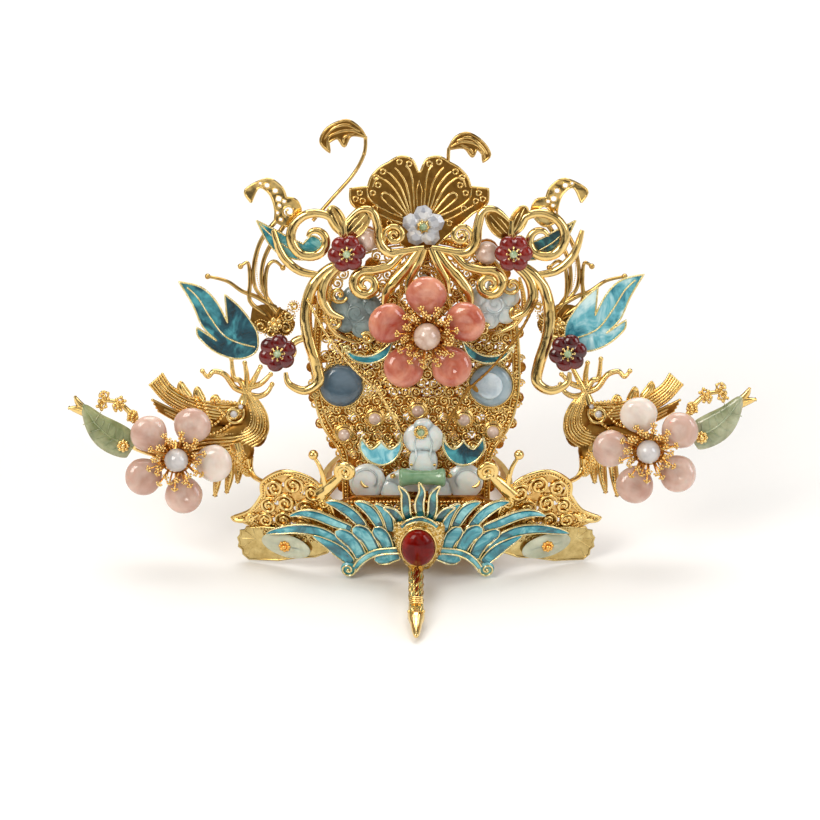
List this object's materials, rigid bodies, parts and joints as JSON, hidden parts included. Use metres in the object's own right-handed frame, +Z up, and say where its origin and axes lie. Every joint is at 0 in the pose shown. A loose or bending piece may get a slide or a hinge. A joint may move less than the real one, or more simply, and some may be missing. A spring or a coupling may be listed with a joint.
{
  "type": "hair crown",
  "caption": "Gilt openwork hair crown with stone flowers, pearls, blue enamel wings and leaves, and a small phoenix in front, standing on a low pierced ring.",
  "frame": {"origin": "middle of the base ring's underside", "axes": "+X to the right of a viewer in front, from flower to flower; +Z up; the front bird faces -Y"},
  "size_m": [0.2022, 0.1062, 0.1279],
  "materials": {
    "gold": "polished gilt brass",
    "enamel": "glossy fired enamel on gilt metal",
    "strawberry_quartz": "polished, slightly clear",
    "rose_quartz": "polished, slightly clear",
    "pearl": "satin",
    "peach_pearl": "satin",
    "red_agate": "polished",
    "pale_jade": "polished, slightly clear",
    "grey_jade": "polished, slightly clear",
    "green_jade": "polished, slightly clear",
    "aventurine": "polished",
    "dark_agate": "polished",
    "light_agate": "polished",
    "crystal": "clear, polished"
  },
  "bodies": {
    "root": {"base_ring": "gold", "back_stay": "gold", "panel": "gold", "gallery": "gold", "disc_left": "dark_agate", "disc_right": "light_agate", "cloud_jade_left": "grey_jade", "cloud_jade_right": "pale_jade", "arch_pearls": "pearl", "jade_ruyi": "pale_jade", "jade_bar": "aventurine", "centre_petals": "strawberry_quartz", "centre_pearl": "peach_pearl", "centre_calyx": "gold", "left_petals": "rose_quartz", "right_petals": "rose_quartz", "left_pearl": "pearl", "right_pearl": "pearl", "left_calyx": "gold", "right_calyx": "gold", "crystal_flower": "crystal", "red_flower_top_left": "red_agate", "red_flower_top_right": "red_agate", "red_flower_low_left": "red_agate", "red_flower_low_right": "red_agate", "peach_pearl_left": "peach_pearl", "peach_pearl_right": "peach_pearl", "fan": "gold", "scroll_left": "gold", "scroll_right": "gold", "horn_left": "gold", "horn_right": "gold", "curl_left": "gold", "curl_right": "gold", "big_leaf_left": "enamel", "big_leaf_right": "enamel", "small_leaf_left": "enamel", "small_leaf_right": "enamel", "bird_left": "gold", "bird_right": "gold", "jade_leaf_left": "green_jade", "jade_leaf_right": "green_jade", "crescent_left": "enamel", "crescent_right": "enamel", "tendril_left": "gold", "tendril_right": "gold", "ribbon_left": "enamel", "ribbon_right": "enamel", "cloud_left": "gold", "cloud_right": "gold", "foot_leaf_left": "gold", "foot_leaf_right": "gold", "foot_jade_left": "pale_jade", "foot_jade_right": "pale_jade", "phoenix": "gold", "cabochon": "red_agate", "flame": "enamel", "wing_left": "enamel", "wing_right": "enamel"}
  },
  "joints": []
}
